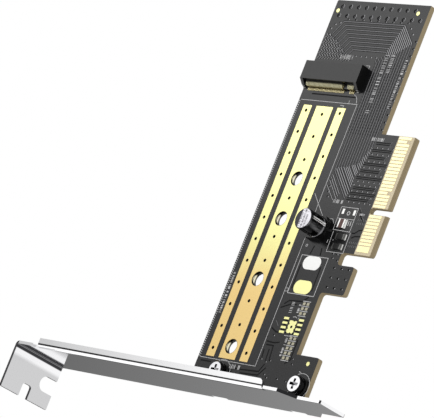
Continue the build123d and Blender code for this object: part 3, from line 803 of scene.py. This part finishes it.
# %% Pairs and links at the fingers
PAIRS = [(19.3, 14.4, 8.6), (17.2, 15.0, 7.2), (15.05, 15.3, 8.6), (13.1, 16.2, 7.0),
         (11.0, 16.3, 8.7), (8.95, 16.9, 6.9), (5.95, 16.6, 7.9), (4.3, 17.1, 7.0),
         (2.65, 17.4, 8.8)]
PAIR_HALF, PAIR_WIDTH, PAIR_LIFT = 0.26, 0.3, 0.01
LINK_WIDTH = 0.16
RUNG_X, RUNG_TOP_Z = (-2.7, -9.3), 10.1
RUNG_STEP_X, RUNG_STEP_Z, RUNG_LENGTH, RUNG_WIDTH = 1.05, 0.7, 0.55, 0.2
SHIFTS = (0.0, 0.9, 1.8)
SLANT_GAP_WIDTH = 0.34

for x, high, low in PAIRS:
    for aside in (-PAIR_HALF, PAIR_HALF):
        strip(gaps, [(x + aside, high), (x + aside, low)], PAIR_WIDTH, PAIR_LIFT)
    link = [(x + 0.75, low - 0.1), (x - 0.1, low + 0.35), (x - 0.75, low + 0.1)]
    strip(traces, link, LINK_WIDTH, TRACE_LIFT)
for first in RUNG_X:
    for row in range(2):
        for k in range(5):
            x, z = first - RUNG_STEP_X * row, RUNG_TOP_Z - RUNG_STEP_Z * k
            strip(traces, [(x, z), (x - RUNG_LENGTH, z)], RUNG_WIDTH, TRACE_LIFT)
for shift in SHIFTS:
    top, foot = 11.0 - shift * 0.6, 8.9 - shift * 0.5
    strip(traces, [(0.6 - shift, top), (-2.4 - shift * 0.3, foot)], LINK_WIDTH, TRACE_LIFT)
    strip(gaps, [(0.1 - shift, top), (-2.8 - shift * 0.3, foot)], SLANT_GAP_WIDTH, PAIR_LIFT)
print("pairs:", len(PAIRS), "links:", len(SHIFTS))

# %% [markdown]
# The rest of the board is quieter. A few dark gaps run between the small parts, more vias stand
# near them, and the pads of the unfitted driver have dark dots on them and dark gaps between
# them, partly the lacquer's own dark and partly painted shade. The bump vias get pale dots beside
# them as painted highlights. The back is out of the photograph's sight. It gets plain traces,
# because a bare back would look unfinished.

# %% Quiet traces, more vias and the back
QUIET_GAPS = [
    ((-5.7, 7.0), (-5.9, 8.3), (-6.9, 9.6), (-6.9, 10.6)),
    ((-7.6, 7.0), (-7.7, 9.0), (-8.3, 10.2)),
    ((-26.3, 17.2), (-27.8, 19.0), (-28.1, 23.9), (-29.2, 25.4)),
    ((-28.9, 20.6), (-28.9, 22.6), (-30.4, 26.2)),
    ((-36.3, 26.6), (-37.3, 24.4), (-37.3, 22.9)),
    ((-40.2, 26.6), (-40.4, 23.6), (-40.0, 21.6)),
    ((-41.2, 26.2), (-41.2, 23.4), (-45.5, 22.9)),
    ((-42.6, 26.3), (-44.9, 26.0)),
    ((-42.3, 24.4), (-45.6, 24.2)),
    ((-49.4, 35.4), (-49.0, 25.2), (-46.6, 24.0)),
    ((-50.3, 32.0), (-50.0, 25.0), (-47.6, 23.0)),
    ((-48.6, 48.6), (-48.6, 44.4)),
    ((-51.0, 48.6), (-51.0, 45.0)),
    ((-17.6, 24.9), (-24.6, 24.9)),
    ((-17.6, 17.1), (-24.6, 17.1)),
    ((-11.8, 22.5), (-14.4, 23.0)),
    ((-12.2, 19.4), (-14.5, 19.0)),
    ((-38.5, 15.2), (-44.4, 15.2), (-45.6, 16.8)),
    ((31.9, 46.0), (31.9, 28.6)),
]
LONE_VIAS = [(-45.3, 26.1), (-45.9, 24.1), (-45.4, 22.6), (-49.4, 22.8), (-50.2, 21.7),
             (-50.1, 17.6), (-50.3, 14.1), (-45.4, 14.1), (-43.9, 14.6), (-13.2, 14.7),
             (-13.3, 13.0), (-14.5, 14.3), (-15.1, 12.2), (-51.6, 48.4), (2.6, 24.9), (4.0, 25.4),
             (5.6, 25.7), (7.6, 25.9), (-38.3, 24.8), (-9.4, 16.9)]
BUMP_VIAS = [(-20.0 + 2.8 * i, 9.4 + 2.8 * k) for i in (-1, 0, 1) for k in (-1, 0, 1)]
QUIET_WIDTH = 0.42
LONE_VIA, LONE_LIP = 0.28, 0.6
BUMP_LIP, BUMP_LIP_Z = 0.17, 0.45
BACK_WIDTH = 0.27
BACK_LEFT_X, BACK_LEFT_STEP, BACK_LEFT_RUN = -46.0, 1.6, 40.0
BACK_FINGER_X, BACK_FINGER_STEP, BACK_FINGER_Z, BACK_RIGHT_END_X = 1.5, 2.0, 7.3, 45.0
BACK_TURN = 6.0
DRIVER_X, DRIVER_Z = -35.3, 19.4
DRIVER_DOTS = [(1.8, -0.26), (0.79, 1.3), (0.6, -1.4), (-0.5, 1.3), (-0.72, -1.4), (-1.75, 1.2),
               (-1.8, -0.24), (-1.75, -1.3)]
DRIVER_DOT, SLUG_DOT, DRIVER_DOT_LIFT = 0.3, 0.46, 0.075
PAD_GAP_X = [DRIVER_X + 0.33 + 1.3 * step for step in (-1, 0, 1)]
PAD_GAP_Z, PAD_GAP_HALF, PAD_GAP_WIDTH = 2.8, 0.75, 0.56

for line in QUIET_GAPS:
    strip(gaps, line, QUIET_WIDTH, SHADE_LIFT)
strip(traces, [(-34.1, 26.0), (-35.6, 24.4)], LINK_WIDTH, TRACE_LIFT)
for x, z in LONE_VIAS:
    via(x, z, LONE_VIA, LONE_LIP)
# Painted highlights: a pale dot beside each bump via.
for x, z in BUMP_VIAS:
    dot(lip_highlights, x - LIP_ASIDE, z - BUMP_LIP_Z, BUMP_LIP, LIP_LIFT, FRONT, 8)
for k in range(8):
    x, high = BACK_LEFT_X + BACK_LEFT_STEP * k, 24.0 + k
    line = [(x, high - 12.0), (x, high), (x + BACK_TURN, high + BACK_TURN),
            (x + BACK_LEFT_RUN, high + BACK_TURN)]
    strip(traces, line, BACK_WIDTH, TRACE_LIFT, BACK)
for k in range(10):
    x, z = BACK_FINGER_X + BACK_FINGER_STEP * k, 12.0 + 0.6 * k
    line = [(x, BACK_FINGER_Z), (x, z), (x + BACK_TURN, z + BACK_TURN),
            (BACK_RIGHT_END_X, z + BACK_TURN)]
    strip(traces, line, BACK_WIDTH, TRACE_LIFT, BACK)
for x, z in DRIVER_DOTS:
    dot(dimples, DRIVER_X + x, DRIVER_Z + z, DRIVER_DOT, DRIVER_DOT_LIFT)
dot(dimples, DRIVER_X, DRIVER_Z, SLUG_DOT, DRIVER_DOT_LIFT)
# Dark strips between the driver's pads, partly painted shade.
for x in PAD_GAP_X:
    for z in (DRIVER_Z - PAD_GAP_Z, DRIVER_Z + PAD_GAP_Z):
        strip(gaps, [(x, z - PAD_GAP_HALF), (x, z + PAD_GAP_HALF)], PAD_GAP_WIDTH, SHADE_LIFT)
place(fan, "fan_trace_highlights", fan_highlight_lacquer)
place(gaps, "lacquer_gaps_and_shadows", gap_and_shade_lacquer)
place(traces, "lacquer_traces", trace_lacquer)
place(dimples, "via_dimple_shades", hole_shade_dark)
place(lip_highlights, "via_lip_highlights", painted_highlight_lacquer)

# %% [markdown]
# The drilled holes of the frame are bare laminate. Real ones are lined: the small ones with
# lacquered copper, near-black here as painted shade inside the hole, the four standoff holes with
# bright plating. A shader could tint the wall by its distance from each axis, but a thin tube that
# just clears the wall is simpler, and takes a finish of its own. At the far end each hole also has
# a pale arc on its lower side as a painted highlight and a dark one on its upper side as painted
# shade.

# %% Linings of the holes
BORE, BORE_WALL, BORE_RIM = 2.1, 2.16, 2.75
STRIPE_VIA_X = [26.8 - 6.49 * k for k in range(12)]
MIDDLE_VIA_X = [26.02, 19.28, 12.32, 0.74, -10.8, -17.91, -29.96, -37.04]
STRIPE_VIA_Z, MIDDLE_VIA_Z = (45.7, 32.28), 38.95
END_HOLE_STEP = 3.175
STRIPE_LINING, BUMP_LINING, END_LINING = (0.5, 0.34), (0.32, 0.24), (0.52, 0.44)
STRIPE_FACE, PROUD = FRONT - 0.054, 0.012
ARC_POINTS, ARC_STEP = 9, 0.09
PALE_ARC, PALE_WIDTH, PALE_LIFT = (0.6, 1.12), 0.16, 0.03
DARK_ARC, DARK_WIDTH, DARK_LIFT = (0.62, 0.38), 0.26, 0.02

record_mounts = {mount["name"]: mount for mount in frame["record"]["mounts"]}
standoffs = [name for name in sorted(record_mounts) if "standoff" in name]
plating = bmesh.new()
for name in standoffs:
    x, _, z = [n * 1000 for n in record_mounts[name]["pos_m"]]
    tube(plating, x, z, BORE_WALL, BORE, STRIPE_FACE - 0.001, BACK + 0.02, 48)
    tube(plating, x, z, BORE_RIM, BORE, BACK, BACK + 0.03, 48)
place(plating, "standoff_plating", hole_plating, True)

stripe_vias = [(x, z) for z in STRIPE_VIA_Z for x in STRIPE_VIA_X]
stripe_vias += [(x, MIDDLE_VIA_Z) for x in MIDDLE_VIA_X]
end_holes = [(58.78, 47.25 - END_HOLE_STEP * k) for k in range(10)]
end_holes += [(55.97, 47.41 - END_HOLE_STEP * k) for k in range(11)]
linings = bmesh.new()
# Painted shade: the small holes are lined near-black.
for x, z in stripe_vias:
    tube(linings, x, z, *STRIPE_LINING, STRIPE_FACE, BACK + 0.005)
for x, z in BUMP_VIAS:
    tube(linings, x, z, *BUMP_LINING, FRONT - PROUD, BACK + PROUD)
end_linings = bmesh.new()
for x, z in end_holes:
    tube(end_linings, x, z, *END_LINING, FRONT - PROUD, BACK + PROUD)
place(linings, "hole_linings", hole_shade_dark, True)
place(end_linings, "end_hole_linings", end_lining, True)


def arc(x, z, radius, start):
    """Points round part of a hole, from this many half turns on."""
    turns = [math.pi * (start + ARC_STEP * n) for n in range(ARC_POINTS)]
    return [(x + radius * math.cos(t), z + radius * math.sin(t)) for t in turns]


rims = bmesh.new()
shades = bmesh.new()
# Painted highlight on each hole's lower side, painted shade on its upper side.
for x, z in end_holes:
    strip(rims, arc(x, z, *PALE_ARC), PALE_WIDTH, PALE_LIFT)
    strip(shades, arc(x, z, *DARK_ARC), DARK_WIDTH, DARK_LIFT)
place(rims, "hole_rim_highlights", painted_highlight_lacquer)
place(shades, "hole_shades", gap_and_shade_lacquer)

# %% [markdown]
# White print marks where the module lies, frames the parts and dots the first pins. A shader could
# paint it, but real ink is a few hundredths of a millimetre thick, and strips and rings of that
# height keep crisp edges from every side.

# %% White print
INK = 0.035
LINE_WIDTH = 0.17
PRINTED_LINES = [
    ((-47.7, 49.3), (-47.7, 27.15), (-2.4, 27.15)),
    ((29.9, 49.3), (29.9, 27.1), (-2.4, 27.15)),
    ((3.0, 30.0), (-3.3, 23.6)),
    ((0.2, 18.05), (0.2, 11.6), (-6.7, 11.55), (-6.5, 18.0), (0.2, 18.05)),
    ((-3.15, 18.0), (-3.15, 11.6)),
    ((-6.9, 17.6), (-12.9, 17.4), (-12.9, 11.0), (-6.9, 11.1)),
    ((-3.6, 25.6), (-3.6, 19.6), (-4.8, 18.6)),
    ((-10.5, 18.4), (-9.6, 18.4)),
    ((41.5, 29.3), (41.5, 27.9), (40.7, 28.0)),
    ((30.9, 30.6), (29.9, 30.4)),
    ((29.2, 33.3), (29.2, 32.0), (28.3, 32.1)),
    ((32.7, 29.6), (32.2, 28.6), (31.3, 27.9), (30.2, 27.6)),
    ((-32.5, 20.2), (-32.3, 19.4), (-32.6, 18.7)),
    ((-32.9, 18.1), (-32.4, 17.8)),
    ((-37.9, 20.9), (-37.9, 18.0)),
    ((-47.0, 10.3), (-47.3, 9.4)),
]
PAD_FRAME = [(-14.8, 25.8), (-14.8, 15.6), (-26.0, 15.6), (-26.0, 25.8)]
PAD_TAB = [(-24.7, 27.15), (-24.7, 26.0), (-25.6, 26.0), (-25.6, 27.15)]
SIGNS = [(-3.65, 13.25), (-3.65, 12.45)]
SIGN_LENGTH, SIGN_DROP, SIGN_WIDTH = 1.35, 0.1, 0.26
FRAME_WIDTH, TAB_WIDTH, DASH_WIDTH = 0.19, 0.13, 0.2
# Rings: place, outer and inner radius, and sides
PRINTED_RINGS = [(-1.48, 14.56, 0.6, 0.38, 20), (-12.0, 25.4, 0.4, 0.24, 16),
                 (SCREW_X, SCREW_HIGH_Z, 3.78, 3.64, 56), (SCREW_X, SCREW_LOW_Z, 3.78, 3.64, 56)]
EDGE_FROM_X, EDGE_TO_X, EDGE_STEP = -47.4, 29.7, 0.62
EDGE_LOW_Z, EDGE_HIGH_Z, EDGE_SLANT = 49.35, 50.0, 0.14

ink = bmesh.new()
for line in PRINTED_LINES:
    strip(ink, line, LINE_WIDTH, INK)
strip(ink, PAD_FRAME, FRAME_WIDTH, INK, closed=True)
strip(ink, PAD_TAB, TAB_WIDTH, INK)
for x, z in SIGNS:
    strip(ink, [(x, z), (x - SIGN_LENGTH, z - SIGN_DROP)], SIGN_WIDTH, INK)
for x, z, outer, inner, sides in PRINTED_RINGS:
    tube(ink, x, z, outer, inner, FRONT + BURIED, FRONT - INK, sides)
edge_x = EDGE_FROM_X
while edge_x < EDGE_TO_X:
    dash = [(edge_x - EDGE_SLANT, EDGE_LOW_Z), (edge_x + EDGE_SLANT, EDGE_HIGH_Z)]
    strip(ink, dash, DASH_WIDTH, INK)
    edge_x += EDGE_STEP
print("printed lines:", len(PRINTED_LINES))

# %% [markdown]
# Rows of plain upright ticks, as small as fine print, keep the board and the can's top from
# looking empty. A texture could carry them, but strips of ink stay sharp at any distance. A
# seeded draw spaces them unevenly, and gives the same ticks on every run.

# %% Ticks
TICK_LEFT_OUT = 0.18
TICK_STEP = 0.22
TICK_ROWS = [
    ((27.8, 22.2), (45.2, 22.9), 1.3), ((40.0, 20.3), (45.2, 20.4), 1.2),
    ((29.7, 15.1), (44.3, 14.8), 0.8), ((43.6, 41.2), (43.6, 35.8), 1.3),
    ((20.4, 16.4), (20.4, 11.9), 1.0), ((1.5, 22.3), (1.5, 18.3), 1.0),
    ((-22.6, 48.6), (-34.5, 48.5), 0.75), ((-28.4, 22.0), (-31.9, 22.0), 1.1),
    ((-48.9, 36.6), (-48.9, 32.8), 1.2), ((-28.8, 19.3), (-31.6, 19.2), 0.7),
    ((-38.6, 19.4), (-44.0, 19.4), 0.7), ((-1.4, 8.6), (-1.4, 10.6), 0.6),
]
CHIP_ROWS = ((-28.35, 3), (-38.4, 5))
CHIP_STEP, CHIP_HIGH_Z, CHIP_LOW_Z = 1.42, 18.75, 15.7
CAN_INK_Y, CAN_TICK = -8.5, 0.6
CAN_ROWS = ((23.1, 2.3), (22.1, 2.5), (21.1, 2.3))

luck = random.Random(7)


def ticks(start, end, height, sheet=ink, face=FRONT):
    """A row of plain upright ticks of one height."""
    start, end = Vector(start), Vector(end)
    way = (end - start).normalized()
    up = Vector((-way.y, way.x)) * (height / 2)
    at = 0.0
    while at < (end - start).length:
        spot = start + way * at
        if luck.random() > TICK_LEFT_OUT:
            width = LINE_WIDTH * luck.choice((1.0, 1.0, 1.7))
            strip(sheet, [tuple(spot - up), tuple(spot + up)], width, INK, face)
        at += TICK_STEP * height * luck.choice((1.6, 2.2, 3.0))


for first_x, rows in CHIP_ROWS:
    for k in range(rows + 1):
        x = first_x + CHIP_STEP / 2 - CHIP_STEP * k
        strip(ink, [(x, CHIP_HIGH_Z), (x, CHIP_LOW_Z)], 0.2, 0.02)
for tick_row in TICK_ROWS:
    ticks(*tick_row)
place(ink, "board_print", white_print)
can_ink = bmesh.new()
for z, half in CAN_ROWS:
    ticks((CAN_AXIS_X - half, z), (CAN_AXIS_X + half, z), CAN_TICK, can_ink, CAN_INK_Y)
place(can_ink, "can_print", print_grey)

# %% [markdown]
# Solder rises against the end caps of the chip parts. Each joint is a small wedge with sloping
# sides that sits half under the cap, so no gap shows between the two. A rounder fillet would not
# be seen at this size.

# %% Solder joints
JOINTED_PARTS = [(-8.4, 13.95, 3.2, 1.6), (-11.25, 13.95, 3.2, 1.6), (-4.67, 15.3, 2.4, 2.5)]
JOINT_OUT, JOINT_WIDTH, JOINT_LIFT = 0.12, 0.5, 0.2

joints = bmesh.new()
for x, z, length, width in JOINTED_PARTS:
    for end in (-1, 1):
        joint_z = z + end * (length / 2 + JOINT_OUT)
        line = [(x - width / 2, joint_z), (x + width / 2, joint_z)]
        strip(joints, line, JOINT_WIDTH, JOINT_LIFT)
place(joints, "solder_joints", solder_tin)

# %% [markdown]
# The view layer is brought up to date with everything on it.

# %% Close
bpy.context.view_layer.update()
